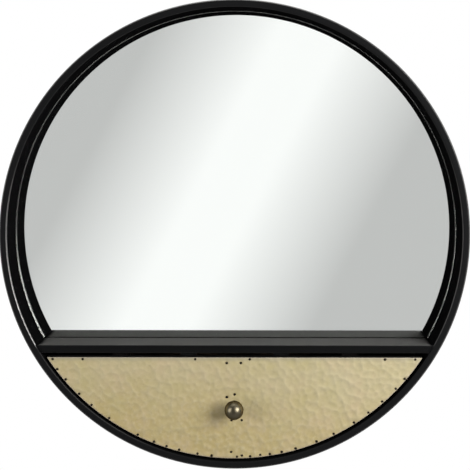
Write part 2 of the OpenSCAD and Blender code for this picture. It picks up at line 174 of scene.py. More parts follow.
class Finish:
    """A node tree that is built by expressions."""

    def __init__(self, tree, made=None):
        self.tree = tree
        self.material = made
        tree.nodes.clear()

    def node(self, kind, sockets=None, output=0, **settings):
        made = self.tree.nodes.new("ShaderNode" + kind)
        for name, value in settings.items():
            setattr(made, name, value)
        for name, value in (sockets or {}).items():
            if isinstance(value, Socket):
                self.tree.links.new(value.output, made.inputs[name])
            else:
                made.inputs[name].default_value = value
        return Socket(self, made.outputs[output]) if made.outputs else None

    def blend(self, share, low, high):
        """The colour low where share is 0 and high where it is 1."""
        ends = [end if isinstance(end, Socket) else (*end, 1.0) for end in (low, high)]
        return self.node("Mix", {0: share, 6: ends[0], 7: ends[1]}, output=2, data_type="RGBA")

    def layered(self, colour, *layers):
        """A colour under layers of (share, colour), each laid over the last."""
        for share, over in layers:
            colour = self.blend(share, colour, over)
        return colour

    def place(self, stretch=None):
        """The point on the object in metres, each axis times its stretch where one is given."""
        here = self.node("TexCoord", output="Object")
        if stretch is None:
            return here
        return self.node("VectorMath", {0: here, 1: stretch}, operation="MULTIPLY")

    def noise(self, size, detail=3.0, stretch=None, rough=0.5, twist=0.0):
        """Soft noise from 0 to 1 whose patches are about this size in metres."""
        return self.node("TexNoise", {
            "Vector": self.place(stretch), "Scale": 1 / size, "Detail": detail,
            "Roughness": rough, "Distortion": twist})

    def cells(self, size, output="Distance"):
        """Cells about this size in metres: the distance to the middle of each, or its own colour."""
        return self.node("TexVoronoi", {"Vector": self.place(), "Scale": 1 / size}, output)

    def mark(self, name):
        """A number that the mesh code left on each point, such as how worn an edge is."""
        return self.node("Attribute", output="Fac", attribute_name=name)

    def axis(self, vector, name):
        """The X, Y or Z of a vector."""
        return self.node("SeparateXYZ", {0: vector}, output=name)

    def facing(self, name):
        """How far the surface faces along X, Y or Z, from -1 to 1."""
        return self.axis(self.node("NewGeometry", output="Normal"), name)

    def path(self, name):
        """What is known of the ray that asks, such as whether it comes from the camera."""
        return self.node("LightPath", output=name)

    def bump(self, height, over=None):
        """A normal bent by a height in metres, on top of another normal where one is given."""
        below = {} if over is None else {"Normal": over}
        return self.node("Bump", {"Height": height, "Distance": 1.0, **below})

    def edges(self, radius):
        """The normal as if edges were rounded to this radius, and a mask of where it turns."""
        rounded = self.node("Bevel", {"Radius": radius}, samples=BEVEL_SAMPLES)
        true = self.node("NewGeometry", output="Normal")
        same = self.node("VectorMath", {0: rounded, 1: true}, "Value", operation="DOT_PRODUCT")
        return rounded, ((1 - same) * EDGE_GAIN).clamped()

    def surface(self, sockets):
        """Ends the tree in one shader and gives back the material."""
        made = self.node("BsdfPrincipled", sockets)
        self.node("OutputMaterial", {"Surface": made})
        return self.material


def material(name):
    """The finish that builds the nodes of a new material."""
    made = bpy.data.materials.new(name)
    made.use_nodes = True
    return Finish(made.node_tree, made)


print("sockets and finishes ready")

# %% [markdown]
# ## Black powder coat
#
# The steel is blasted and powder coated after welding. Powder flows out as it bakes and keeps a faint
# orange peel, about a millimetre across and a few microns high, which breaks up its sheen. The coat is
# not quite black. It rubs thin and smooth on the arrises, where cloths and hands pass, and fine dust
# settles on what faces up. On the shelf the pale top is mostly painted sheen, with some dust. A bump
# gives the peel, and a mark left by the mesh code, or a rounded normal where the piece is plain CAD,
# tells where the arrises are.
#
# The gun reaches the inside of the deep hoop worst and no cloth polishes it, so it stays dead matt
# there. Sheen is a constant of a shader, which is why one function makes several coats, from matt to
# satin, and not one coat with a mask.

# %% Powder coat
COAT_FRONT = ((0.0038, 0.0039, 0.0042), (0.0062, 0.0063, 0.0067))
COAT_INSIDE = ((0.004, 0.004, 0.0042), (0.0052, 0.0052, 0.0054))
COAT_OUTSIDE = ((0.0095, 0.0097, 0.0102), (0.015, 0.0152, 0.0158))
COAT_DUST = (0.032, 0.032, 0.032)
SHELF_DUST_AND_SHEEN = (0.128, 0.127, 0.12)
RUBBED_STEEL = (0.24, 0.236, 0.23)
ARRIS_ROUGHNESS = 0.18
INNER_ARRIS_ROUGHNESS = 0.3
PEEL_SIZE = 1.1 * MM
PEEL_HEIGHT = 0.01 * MM
FACES_UP = (0.75, 0.97)


def powder_coat(name, colours, roughness, sheen, dust_and_sheen=COAT_DUST, rubbed_to=ARRIS_ROUGHNESS, meshed=True):
    """Black powder coat, whose mesh brings its own mark for the arrises unless it is plain CAD."""
    f = material(name)
    patches = f.noise(60 * MM, detail=4.0, rough=0.6)
    peel = f.noise(PEEL_SIZE, detail=1.5)
    scuffs = f.noise(9 * MM, detail=5.0, rough=0.7)
    if meshed:
        rounded, arris = None, f.mark("arris").steps_up(0.05, 0.5)
    else:
        rounded, arris = f.edges(0.6 * MM)
    up = f.facing("Z").steps_up(*FACES_UP)
    rubbed = arris * (0.75 + scuffs.steps_up(0.3, 0.7) * 0.25)
    # Faces that look up turn paler: dust on most coats, and on the shelf mostly painted sheen that
    # brightens its top.
    with_dust_and_sheen = f.blend(up * (0.8 + scuffs * 0.2), f.blend(patches, *colours), dust_and_sheen)
    even = roughness + (patches - 0.5) * 0.1
    return f.surface({
        "Base Color": f.blend(rubbed, with_dust_and_sheen, RUBBED_STEEL),
        "Metallic": rubbed,
        "Roughness": even + rubbed * (rubbed_to - even),
        "Specular IOR Level": sheen,
        "Normal": f.bump(peel * PEEL_HEIGHT, rounded)})


MATT = {"colours": COAT_INSIDE, "roughness": 0.95, "sheen": 0.0, "dust_and_sheen": COAT_INSIDE[1]}
SATIN = {"colours": COAT_OUTSIDE, "roughness": 0.48, "sheen": 0.28}
front_coat = powder_coat("powder coat on the front", COAT_FRONT, 0.6, sheen=0.12)
inside_coat = powder_coat("matt powder coat inside the hoop", rubbed_to=INNER_ARRIS_ROUGHNESS, **MATT)
outside_coat = powder_coat("satin powder coat outside", **SATIN)
# The shelf's pale top is painted sheen, with some dust.
shelf_coat = powder_coat("powder coat on the shelf", COAT_FRONT, 0.5, sheen=0.07, dust_and_sheen=SHELF_DUST_AND_SHEEN)
plain_coat = powder_coat("satin powder coat on plain pieces", meshed=False, **SATIN)
# The band's faces that look towards the middle: a darker matt coat as painted shade.
band_shade_coat = powder_coat("matt powder coat inside the band", meshed=False, **MATT)
print("powder coats:", len(bpy.data.materials))

# %% [markdown]
# ## Building round and straight tube
#
# The hoop is rectangular tube rolled on edge, and the shelf is the same tube left straight. Both can
# be one outline carried along a path, so one function makes the outline: a rectangle with round
# corners, each point knowing how near it is to the middle of a corner. That number becomes the
# `arris` mark of the mesh, which the powder coat reads, and which a bevel modifier couldn't leave.

# %% Outline of the tube
CORNER_STEPS = 8
FACE_STEPS = 4


def tube_outline(width, depth, radius):
    """Points (across, along, mark) round a tube, anticlockwise from the start of a corner."""
    points = []
    centres = [(width - radius, depth - radius), (radius, depth - radius), (radius, radius),
               (width - radius, radius)]
    for quarter, (cx, cy) in enumerate(centres):
        for step in range(CORNER_STEPS + 1):
            angle = pi / 2 * (quarter + step / CORNER_STEPS)
            mark = 1 - abs(2 * step / CORNER_STEPS - 1)
            points.append((cx + radius * cos(angle), cy + radius * sin(angle), mark))
        x, y, _ = points[-1]
        nx, ny = centres[(quarter + 1) % 4]
        for step in range(1, FACE_STEPS):
            share = step / FACE_STEPS
            points.append((x + (nx - cx) * share, y + (ny - cy) * share, 0.0))
    return points


def turns(count):
    """The angles of count equal steps round a circle."""
    return [2 * pi * i / count for i in range(count)]


def new_piece(name, vertices, faces, *finishes, marks=None, smooth=True):
    """A mesh object from points and faces, with a mark on each point where one is given."""
    mesh = bpy.data.meshes.new(name)
    mesh.from_pydata(vertices, [], faces)
    mesh.validate()
    if smooth:
        mesh.shade_smooth()
    for mark, values in (marks or {}).items():
        mesh.attributes.new(mark, "FLOAT", "POINT").data.foreach_set("value", values)
    for finish in finishes:
        mesh.materials.append(finish)
    made = bpy.data.objects.new(name, mesh)
    scene.collection.objects.link(made)
    return made


def ring_faces(rings, count, closed=False):
    """Quads between rings of count points each, the last ring joined to the first if closed."""
    faces = []
    for i in range(rings if closed else rings - 1):
        a, b = i * count, (i + 1) % rings * count
        faces += [(a + j, a + (j + 1) % count, b + (j + 1) % count, b + j) for j in range(count)]
    return faces


def capped_faces(rings, count):
    """Quads between open rings, and one face that closes each end."""
    last = (rings - 1) * count
    return [*ring_faces(rings, count), tuple(range(count)), tuple(range(last, last + count))]


def joined(parts):
    """The points and faces of several parts as one."""
    vertices, faces = [], []
    for points, sides in parts:
        first = len(vertices)
        vertices += points
        faces += [tuple(first + i for i in face) for face in sides]
    return vertices, faces


def finish_piece(piece, body, slot, *replaced):
    """Turns the faces outwards, then rides the piece on its body in place of its CAD nodes."""
    mesh = bmesh.new()
    mesh.from_mesh(piece.data)
    bmesh.ops.recalc_face_normals(mesh, faces=mesh.faces)
    mesh.to_mesh(piece.data)
    mesh.free()
    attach(piece, body)
    if replaced:
        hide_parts(*replaced)
    print(piece.name, "has", len(piece.data.polygons), "faces")


hoop_outline = tube_outline(tube_face, tube_depth, corner_r)
print("the tube's outline has", len(hoop_outline), "points")

# %% [markdown]
# ## The hoop
#
# The outline goes round the centre in 288 steps. At 600 mm across, each facet is then 6.5 mm long and
# 0.02 mm off the true circle, far below what a picture or a printer shows.
#
# Hands rub the arrises: most at the left, where the hoop is held, and less at the right and lower left,
# where it is steadied and set down. Three coats share the outline.

# %% Hoop
HOOP_STEPS = 288
HELD_AT, OTHER_HAND_AT, SET_DOWN_AT = radians(192), radians(352), radians(228)
HELD_SPREAD, THUMB_SPREAD = radians(30), radians(24)
OUTER_WEAR, BACK_WEAR = 0.5, 0.18
BAY_WEAR, SET_DOWN_WEAR = 0.05, 0.13
GLASS_SIDE_WEAR, HELD_WEAR = 0.55, 0.9
FRONT_WEAR, THUMB_WEAR, OTHER_HAND_WEAR = 0.13, 0.41, 0.14
INSIDE_COAT_TO = 0.3 * corner_r
OUTSIDE_COAT_FROM = tube_face - 0.5 * corner_r


def near(angle, place, spread):
    """1 near a place round the hoop and 0 away from it."""
    off = abs((angle - place + pi) % (2 * pi) - pi)
    return exp(-(off / spread) ** 4)


def wear(angle, across, along):
    """How worn an arris is: the inner front one is rubbed only where the hoop is held or set down."""
    if across > corner_r:
        return OUTER_WEAR if along < corner_r else BACK_WEAR
    if sin(angle) * inner_r < shelf_high.z - centre_z:
        return BAY_WEAR + SET_DOWN_WEAR * near(angle, SET_DOWN_AT, THUMB_SPREAD)
    if along > corner_r:
        return GLASS_SIDE_WEAR + HELD_WEAR * near(angle, HELD_AT, HELD_SPREAD)
    thumbs = THUMB_WEAR * near(angle, HELD_AT, THUMB_SPREAD)
    return FRONT_WEAR + thumbs + OTHER_HAND_WEAR * near(angle, OTHER_HAND_AT, THUMB_SPREAD)


def coat_of(across, along):
    """The coat of a strip of the outline: 0 on the front, 1 inside the hoop and 2 outside and behind."""
    if across < INSIDE_COAT_TO:
        return 1
    return 2 if across > OUTSIDE_COAT_FROM or along > tube_depth - corner_r else 0


def build_hoop():
    vertices, marks = [], []
    for angle in turns(HOOP_STEPS):
        for across, along, mark in hoop_outline:
            r = inner_r + across
            vertices.append((r * cos(angle), front_y + along, centre_z + r * sin(angle)))
            marks.append(mark * wear(angle, across, along))
    faces = ring_faces(HOOP_STEPS, len(hoop_outline), closed=True)
    made = new_piece("steel_hoop", vertices, faces, front_coat, inside_coat, outside_coat,
                     marks={"arris": marks})
    pairs = zip(hoop_outline, [*hoop_outline[1:], hoop_outline[0]])
    coats = [coat_of((a[0] + b[0]) / 2, (a[1] + b[1]) / 2) for a, b in pairs]
    made.data.polygons.foreach_set("material_index", coats * HOOP_STEPS)
    return made


finish_piece(build_hoop(), "frame", "black_steel", "front_hoop")

# %% [markdown]
# ## The shelf
#
# The shelf's tube is coped: each end is cut to the curve of the hoop's inner wall, so that the weld
# closes without a gap. Here every lengthwise line of the outline simply ends where its own height
# meets the circle, which is what a coping cutter does.

# %% Shelf
SHELF_STEPS = 60
WELD_SINK = 0.2 * MM
SHELF_WEAR = 0.15
SHELF_CORNER_R = 1.2 * MM


def build_shelf():
    outline = tube_outline(tube_face, shelf_depth, SHELF_CORNER_R)
    vertices, marks = [], []
    for i in range(SHELF_STEPS + 1):
        share = 2 * i / SHELF_STEPS - 1
        for across, along, mark in outline:
            z = shelf_low.z + across
            end = sqrt(inner_r ** 2 - (z - centre_z) ** 2) + WELD_SINK
            vertices.append((share * end, shelf_low.y + along, z))
            marks.append(mark * SHELF_WEAR)
    faces = capped_faces(SHELF_STEPS + 1, len(outline))
    return new_piece("steel_shelf", vertices, faces, shelf_coat, marks={"arris": marks})


finish_piece(build_shelf(), "frame", "black_steel", "shelf_tube")

# %% [markdown]
# ## Weld beads
#
# The tabs, the keyhole plates, the runners and the shelf are welded in before the coat goes on. A short
# bead is a row of frozen puddles, so here it is a tube along its seam whose thickness ripples once for
# each puddle and tapers at both ends, half sunk in the two steels that it joins. The seams on the band
# are found from the nodes that they hold: the points furthest out lie against it.

# %% Beads
BEAD_R = 1.3 * MM
PUDDLE = 1.5 * MM
BEAD_STEP = 0.375 * MM
BEAD_SIDES = 8
TAPER_FROM, TAPER_LENGTH = 0.35, 1.2 * BEAD_R
RIPPLE_MEAN, RIPPLE_SIZE = 0.92, 0.1
BEAD_SINK = 0.3 * BEAD_R
BEAD_LIFT = 0.2 * BEAD_R
NEAR_BAND = 0.3 * MM
NEXT_TAB = radians(5)
RUNNER_T = 2.0 * MM
STITCH = 12 * MM
SHELF_SEAM = shelf_depth - 4 * corner_r


def bead(path):
    """Points and faces of one rippled bead along the points of a path."""
    vertices, length = [], BEAD_STEP * (len(path) - 1)
    for i, here in enumerate(path):
        ahead = (path[min(i + 1, len(path) - 1)] - path[max(i - 1, 0)]).normalized()
        side = ahead.orthogonal().normalized()
        over = ahead.cross(side)
        end = min(i * BEAD_STEP, length - i * BEAD_STEP)
        thick = BEAD_R * min(1.0, TAPER_FROM + end / TAPER_LENGTH)
        thick *= RIPPLE_MEAN + RIPPLE_SIZE * cos(2 * pi * i * BEAD_STEP / PUDDLE)
        for turn in turns(BEAD_SIDES):
            vertices.append(here + (side * cos(turn) + over * sin(turn)) * thick)
    return vertices, capped_faces(len(path), BEAD_SIDES)


def stations(length):
    """Steps along a bead of this length, measured from its middle."""
    return [BEAD_STEP * i - length / 2 for i in range(int(length / BEAD_STEP) + 1)]


def seams_on_band(name, behind):
    """An arc for each group of a node's points that touch the band, on its back or its front."""
    low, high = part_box(name)
    level = high.y if behind else low.y
    places = [(v.co.x, v.co.z - centre_z) for v in nodes[name].data.vertices
              if abs(v.co.y - level) < FLUSH]
    reach = max(hypot(x, z) for x, z in places)
    touching = sorted(atan2(z, x) for x, z in places if hypot(x, z) > reach - NEAR_BAND)
    gaps = np.flatnonzero(np.diff(touching) > NEXT_TAB) + 1
    arcs, r, y = [], reach - BEAD_SINK, level + (BEAD_LIFT if behind else -BEAD_LIFT)
    for group in np.split(touching, gaps):
        middle, length = (group[0] + group[-1]) / 2, (group[-1] - group[0]) * reach - 2 * BEAD_R
        arcs.append([Vector((r * cos(middle + t / r), y, centre_z + r * sin(middle + t / r)))
                     for t in stations(length)])
    return arcs


def seam_on_hoop(z, middle_y, length, hand):
    """A straight seam along the hoop's inner wall at this height, hand -1 on the left."""
    x = hand * (sqrt(inner_r ** 2 - (z - centre_z) ** 2) - BEAD_SINK)
    return [Vector((x, middle_y + t, z)) for t in stations(length)]


def build_welds():
    paths = seams_on_band("panel_tabs", True) + seams_on_band("board_tabs", True)
    paths += seams_on_band("hanger_left", False) + seams_on_band("hanger_right", False)
    foot_low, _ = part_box("runner_left")
    foot_top = foot_low.z + RUNNER_T + BEAD_LIFT
    for hand in (-1, 1):
        for y in (foot_low.y + STITCH, hoop_back_y - STITCH):
            paths.append(seam_on_hoop(foot_top, y, STITCH, hand))
        middle_y = (shelf_low.y + shelf_high.y) / 2
        paths.append(seam_on_hoop(shelf_low.z - BEAD_LIFT, middle_y, SHELF_SEAM, hand))
    print("beads:", len(paths))
    return new_piece("weld_beads", *joined(bead(path) for path in paths), plain_coat)


finish_piece(build_welds(), "frame", "black_steel")

# %% [markdown]
# ## The mirror glass
#
# A mirror is 4 mm of clear glass with silver on its back. The reflection therefore lies behind the
# front of the glass, which leaves the narrow bright seam where hoop and mirror image meet. So the glass
# is one closed solid whose back faces are silver: light enters by the front, meets the silver and
# leaves again, a touch greener.

# %% Glass and silver
SILVER = (0.955, 0.96, 0.955)
GLASS_TINT = (0.962, 0.985, 0.968)
ARC_STEPS = 256
SEAM = 0.5 * MM
BACK_PAINT = 0.05 * MM


def clear_glass():
    f = material("clear float glass")
    return f.surface({
        "Base Color": (*GLASS_TINT, 1.0),
        "Roughness": f.noise(90 * MM).steps_up(0.55, 0.95) * 0.012,
        "IOR": 1.52,
        "Transmission Weight": 1.0})


def silver_back():
    f = material("silvered back of the glass")
    clouds = f.noise(150 * MM)
    return f.surface({
        "Base Color": f.blend(clouds, SILVER, (0.965, 0.966, 0.962)),
        "Metallic": 1.0,
        "Roughness": 0.004 + clouds * 0.006})


def ground_edge():
    f = material("ground edge of the glass")
    streaks = f.noise(0.8 * MM)
    return f.surface({
        "Base Color": f.blend(streaks, (0.42, 0.55, 0.5), (0.55, 0.68, 0.62)),
        "Roughness": 0.45 + streaks * 0.2,
        "Normal": f.bump(streaks * 0.02 * MM)})


def glass_outline(inset):
    """The circle above the flat lower edge, drawn in by inset."""
    r = glass_high.z - centre_z - inset
    low = glass_low.z - centre_z + inset
    start = asin(low / r)
    angles = [start + (pi - 2 * start) * i / ARC_STEPS for i in range(ARC_STEPS + 1)]
    return [(r * cos(a), centre_z + r * sin(a)) for a in angles]


def build_glass():
    silver_y = glass_high.y - BACK_PAINT
    levels = [(SEAM, glass_low.y), (0.0, glass_low.y + SEAM), (0.0, silver_y - SEAM), (SEAM, silver_y)]
    vertices = [(x, y, z) for inset, y in levels for x, z in glass_outline(inset)]
    faces = capped_faces(len(levels), ARC_STEPS + 1)
    made = new_piece("mirror_glass_plate", vertices, faces,
                     clear_glass(), ground_edge(), silver_back(), smooth=False)
    made.data.polygons.foreach_set("material_index", [1] * (len(faces) - 2) + [0, 2])
    return made


finish_piece(build_glass(), "frame", "mirror_glass", "mirror_glass")

# %% [markdown]
# ## Hammered brass
#
# The drawer front is thin brass, planished by hand with a domed hammer. Each blow leaves a shallow
# round dent that eats into its neighbours, so the sheet becomes a patchwork of dished facets with soft
# ridges between them. The facets are far too large for a bump map alone: they are real relief here.
# Every dent is a paraboloid, the surface is the lowest of them at each point, and a soft minimum
# rounds the ridges as the burnisher does.

# %% Where the hammer fell
DENT_PITCH = 6.8 * MM
HAMMER_R = 50 * MM
DENT_DEPTH = 0.26 * MM
RIDGE_SOFTNESS = 0.045 * MM
ROW_PITCH = 0.9
SPARE_BLOWS = 3
JITTER = 0.34
DEPTH_SPREAD = 0.2
HAMMER_SEED = 11
POINTS_AT_ONCE = 4096

blows = np.random.default_rng(HAMMER_SEED)
half_width = sqrt(sheet_r ** 2 - sheet_top ** 2)
rows = int((sheet_r + sheet_top) / DENT_PITCH) + SPARE_BLOWS
columns = int(2 * half_width / DENT_PITCH) + SPARE_BLOWS
dent_places, dent_depths = [], []
for row in range(rows):
    shift = 0.5 if row % 2 else 0.0
    for column in range(columns):
        jitter = blows.normal(0.0, JITTER, 2)
        dent_places.append(((column + shift + jitter[0] - columns / 2) * DENT_PITCH,
                            sheet_top + DENT_PITCH - (row + jitter[1]) * DENT_PITCH * ROW_PITCH))
        dent_depths.append(DENT_DEPTH * (1 + blows.normal(0.0, DEPTH_SPREAD)))
dent_places, dent_depths = np.array(dent_places), np.array(dent_depths)
print("hammer blows:", len(dent_depths))


def hammered_depth(x, z):
    """How deep the hammered face lies behind the flat sheet, at points measured from the centre."""
    depth = np.zeros(len(x))
    for low in range(0, len(x), POINTS_AT_ONCE):
        part = slice(low, low + POINTS_AT_ONCE)
        away = (x[part, None] - dent_places[:, 0]) ** 2 + (z[part, None] - dent_places[:, 1]) ** 2
        dents = dent_depths - away / (2 * HAMMER_R)
        deepest = dents.max(axis=1)
        soft = np.exp((dents - deepest[:, None]) / RIDGE_SOFTNESS).sum(axis=1)
        depth[part] = deepest + RIDGE_SOFTNESS * np.log(soft)
    return np.clip(depth, 0.0, 2 * DENT_DEPTH)


# %% [markdown]
# The tacks were driven by hand as well. Their places come from the CAD node: the highest points of its
# heads are gathered into groups, one group for each tack. Every head sits in a small dip, because the
# last blow drives the sheet in round it. Two more tacks near the bottom of the arc, by their distances
# from the middle and from the arc, are heads only.

# %% Where the tacks are
MORE_TACKS = ((9.4 * MM, 3.7 * MM), (33.0 * MM, 2.9 * MM))
SAME_TACK = 1.0 * MM
TACK_DIP = 0.16 * MM
TACK_DIP_R = 2.4 * MM
EDGE_ROLL = 0.28 * MM
EDGE_ROLL_W = 1.5 * MM

tack_points = np.array([v.co for v in nodes["sheet_tacks"].data.vertices])
head_tops = tack_points[tack_points[:, 1] < tack_points[:, 1].min() + FLUSH]
tack_places = []
for x, _, z in head_tops:
    if all(hypot(x - px, z - pz) > SAME_TACK for px, pz in tack_places):
        tack_places.append((float(x), float(z)))
for x, inset in MORE_TACKS:
    tack_places.append((x, centre_z - sqrt((sheet_r - inset) ** 2 - x ** 2)))
tack_low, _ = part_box("sheet_tacks")
print("tacks:", len(tack_places))


def rolled(x, z):
    """1 on the very edge of the sheet and 0 from the width of its roll inwards."""
    edge = np.minimum(sheet_top - z, sheet_r - np.hypot(x, z))
    return np.clip(1 - edge / EDGE_ROLL_W, 0.0, 1.0)


def sheet_depth(x, z):
    """Depth of the sheet's face: the dents, the dips at the tacks and the rolled edge."""
    depth = hammered_depth(x, z)
    for tx, tz in tack_places:
        away = (x - tx) ** 2 + (z - (tz - centre_z)) ** 2
        depth += TACK_DIP * np.exp(-away / TACK_DIP_R ** 2)
    return depth + EDGE_ROLL * rolled(x, z) ** 2


# %% [markdown]
# The face is a grid that follows the segment: each column runs from the straight upper edge down to
# the arc, with three narrow rows at either end for the rolled edge. The rim and the flat back close
# it, so the sheet is a solid of its real thickness.
#
# The patina is laid on in layers: a painted sheen, paler towards the top right, then mottled, specked
# and stained, with brighter ridges. The last millimetres under the shelf are darkened by a painted
# shadow of the shelf, and the rolled rim of the arc is paler, partly a painted highlight.

# %% Brass sheet
SHEET_COLUMNS = 440
SHEET_ROWS = 110
EDGE_ROWS = (0.0, 0.35 * MM, 0.85 * MM, 1.5 * MM)
EDGE_SHARE = 0.08
TIP = 0.5 * MM
SHELF_SHADOW_REACH = 9 * MM
BRASS = (0.69, 0.562, 0.262)
BRASS_PAINTED_SHEEN = (0.745, 0.68, 0.475)
BRASS_WARM = (0.8, 0.71, 0.48)
BRASS_SPECK = (0.42, 0.33, 0.17)
BRASS_PINK = (0.78, 0.65, 0.45)
BRASS_GREEN = (0.69, 0.615, 0.33)
BRASS_RIDGE = (0.84, 0.74, 0.5)
BRASS_SHELF_SHADOW = (0.42, 0.4, 0.32)
BRASS_RIM = (0.62, 0.56, 0.46)
BRASS_ARC_RIM_AND_HIGHLIGHT = (0.76, 0.67, 0.56)


def hammered_brass():
    f = material("hammered brass")
    clouds = f.noise(55 * MM, detail=4.0, rough=0.55)
    mottle = f.noise(5 * MM, detail=4.0, rough=0.6)
    blush = f.noise(34 * MM, detail=4.0, rough=0.6)
    specks = f.noise(1.4 * MM, rough=0.7)
    grain = f.noise(0.5 * MM, detail=2.0)
    hollows = f.mark("hollow")
    height = f.axis(f.place(), "Z")
    across = f.axis(f.place(), "X")
    # A painted sheen: paler towards the top and the right, broken by clouds.
    painted_sheen = height.steps_up(centre_z - sheet_r, sheet_high.z) * 0.55 + across.steps_up(-0.15, 0.22) * 0.25
    painted_sheen = painted_sheen + clouds.steps_up(0.3, 0.72) * 0.2
    # The last millimetres under the shelf are darkened: a painted shadow of the shelf.
    shelf_shadow = height.steps_up(sheet_high.z - SHELF_SHADOW_REACH, sheet_high.z)
    colour = f.layered(
        BRASS,
        (painted_sheen, BRASS_PAINTED_SHEEN),
        (mottle.steps_up(0.42, 0.72) * 0.6, BRASS_WARM),
        (specks.steps_up(0.56, 0.78) * 0.36, BRASS_SPECK),
        (blush.steps_up(0.48, 0.72) * 0.5, BRASS_PINK),
        ((1 - blush.steps_up(0.28, 0.52)) * 0.5, BRASS_GREEN),
        ((1 - hollows) * 0.2, BRASS_RIDGE),
        (shelf_shadow * shelf_shadow * 0.5, BRASS_SHELF_SHADOW),
        # The rolled rim: paler on the arc, burnished and partly a painted highlight, darker along the top
        # edge under the shelf.
        (f.mark("edge").steps_up(0.1, 0.6) * 0.7, f.blend(shelf_shadow, BRASS_ARC_RIM_AND_HIGHLIGHT, BRASS_RIM)))
    return f.surface({
        "Base Color": colour,
        "Metallic": 1.0,
        "Roughness": 0.74 + (mottle - 0.5) * 0.14 - (1 - hollows) * 0.08,
        "Normal": f.bump(grain * 0.006 * MM + specks * 0.012 * MM)})


def column_heights(x):
    """Heights of one column's points, from the upper edge down to the arc."""
    height = sheet_top + sqrt(sheet_r ** 2 - x ** 2)
    rims = [min(step, height * EDGE_SHARE * i) for i, step in enumerate(EDGE_ROWS)]
    inner = np.linspace(rims[-1], height - rims[-1], SHEET_ROWS - 2 * len(rims) + 2)
    down = [*rims[:-1], *inner, *[height - rim for rim in reversed(rims[:-1])]]
    return [sheet_top - d for d in down]


def build_sheet():
    across = np.linspace(TIP - half_width, half_width - TIP, SHEET_COLUMNS)
    grid = np.array([(x, z) for x in across for z in column_heights(x)])
    count = len(grid) // SHEET_COLUMNS
    grid_x, grid_z = grid.T
    depth = sheet_depth(grid_x, grid_z)
    front = [(x, sheet_front_y + d, centre_z + z) for (x, z), d in zip(grid, depth)]
    last = (SHEET_COLUMNS - 1) * count
    rim = [*range(count), *range(2 * count - 1, last, count), *range(last + count - 1, last - 1, -1),
           *range(last - count, 0, -count)]
    back = [(front[i][0], sheet_back_y, front[i][2]) for i in rim]
    faces = [(a, a + count, a + count + 1, a + 1)
             for i in range(SHEET_COLUMNS - 1) for a in range(i * count, (i + 1) * count - 1)]
    first, size = len(front), len(rim)
    faces += [(rim[i], rim[(i + 1) % size], first + (i + 1) % size, first + i) for i in range(size)]
    faces.append(tuple(range(first, first + size)))
    hollow = np.clip(hammered_depth(grid_x, grid_z) / DENT_DEPTH, 0, 1)
    marks = {"hollow": [*hollow, *[1.0] * size], "edge": [*rolled(grid_x, grid_z), *[1.0] * size]}
    return new_piece("hammered_sheet", [*front, *back], faces, hammered_brass(), marks=marks)


finish_piece(build_sheet(), "drawer", "hammered_brass", "front_sheet")

# %% [markdown]
# ## Tacks
#
# Small upholsterer's tacks with low domed heads, blackened, then struck: no two sit quite alike. One
# head is a turned profile, and each copy gets its own size, flattening and tilt.

# %% Tacks
TACK_R = 1.65 * MM
TACK_PROFILE = [(0.0, 1.0), (0.35, 0.95), (0.62, 0.8), (0.82, 0.55), (0.95, 0.24), (1.0, 0.0),
                (0.96, -0.22), (0.0, -0.22)]
TACK_SIDES = 20
TACK_SIZE_SPREAD = 0.05
TACK_RISE, TACK_RISE_SPREAD = 0.9, (-0.12, 0.08)
TACK_TILT = 4
TACK_SEED = 5


def blackened_tack():
    f = material("blackened tack")
    rubbed = f.noise(0.9 * MM)
    return f.surface({
        "Base Color": f.blend(rubbed.steps_up(0.45, 0.75), (0.022, 0.016, 0.01), (0.075, 0.055, 0.034)),
        "Metallic": 0.8,
        "Roughness": 0.52 - rubbed * 0.15,
        "Normal": f.bump(rubbed * 0.03 * MM)})


def turned(profile, sides):
    """Points and faces of a profile of (radius, height) turned about +Z, its ends closed on the axis."""
    rings = [(r, h) for r, h in profile if r > 0]
    vertices = [(r * cos(a), r * sin(a), h) for r, h in rings for a in turns(sides)]
    faces = ring_faces(len(rings), sides)
    top, bottom = len(vertices), len(vertices) + 1
    vertices += [(0.0, 0.0, profile[0][1]), (0.0, 0.0, profile[-1][1])]
    last = (len(rings) - 1) * sides
    faces += [((s + 1) % sides, s, top) for s in range(sides)]
    faces += [(last + s, last + (s + 1) % sides, bottom) for s in range(sides)]
    return vertices, faces


def build_tacks():
    hand = np.random.default_rng(TACK_SEED)
    height = sheet_front_y - tack_low.y
    head_points, head_faces = turned(TACK_PROFILE, TACK_SIDES)
    heads = []
    for x, z in tack_places:
        size = TACK_R * (1 + hand.normal(0, TACK_SIZE_SPREAD))
        rise = height * (TACK_RISE + hand.uniform(*TACK_RISE_SPREAD))
        tilt, roll = [Matrix.Rotation(radians(hand.normal(0, TACK_TILT)), 3, axis) for axis in "XY"]
        placed = [tilt @ roll @ Vector((px * size, py * size, h * rise)) for px, py, h in head_points]
        heads.append(([(x + p.x, sheet_front_y - p.z, z + p.y) for p in placed], head_faces))
    return new_piece("tack_heads", *joined(heads), blackened_tack())


finish_piece(build_tacks(), "drawer", "dark_tack", "sheet_tacks")

# %% [markdown]
# ## Knob
#
# A ball on a coved neck and a round foot, turned from brass and darkened. On the lathe it is one
# profile, so here it is too: arcs for the ball and the cove, a small fillet on the foot. The patina
# is darker from the middle of the ball back to the foot, where no hand rubs it off; that dark is also
# painted shade, which gives the ball its dark outline.

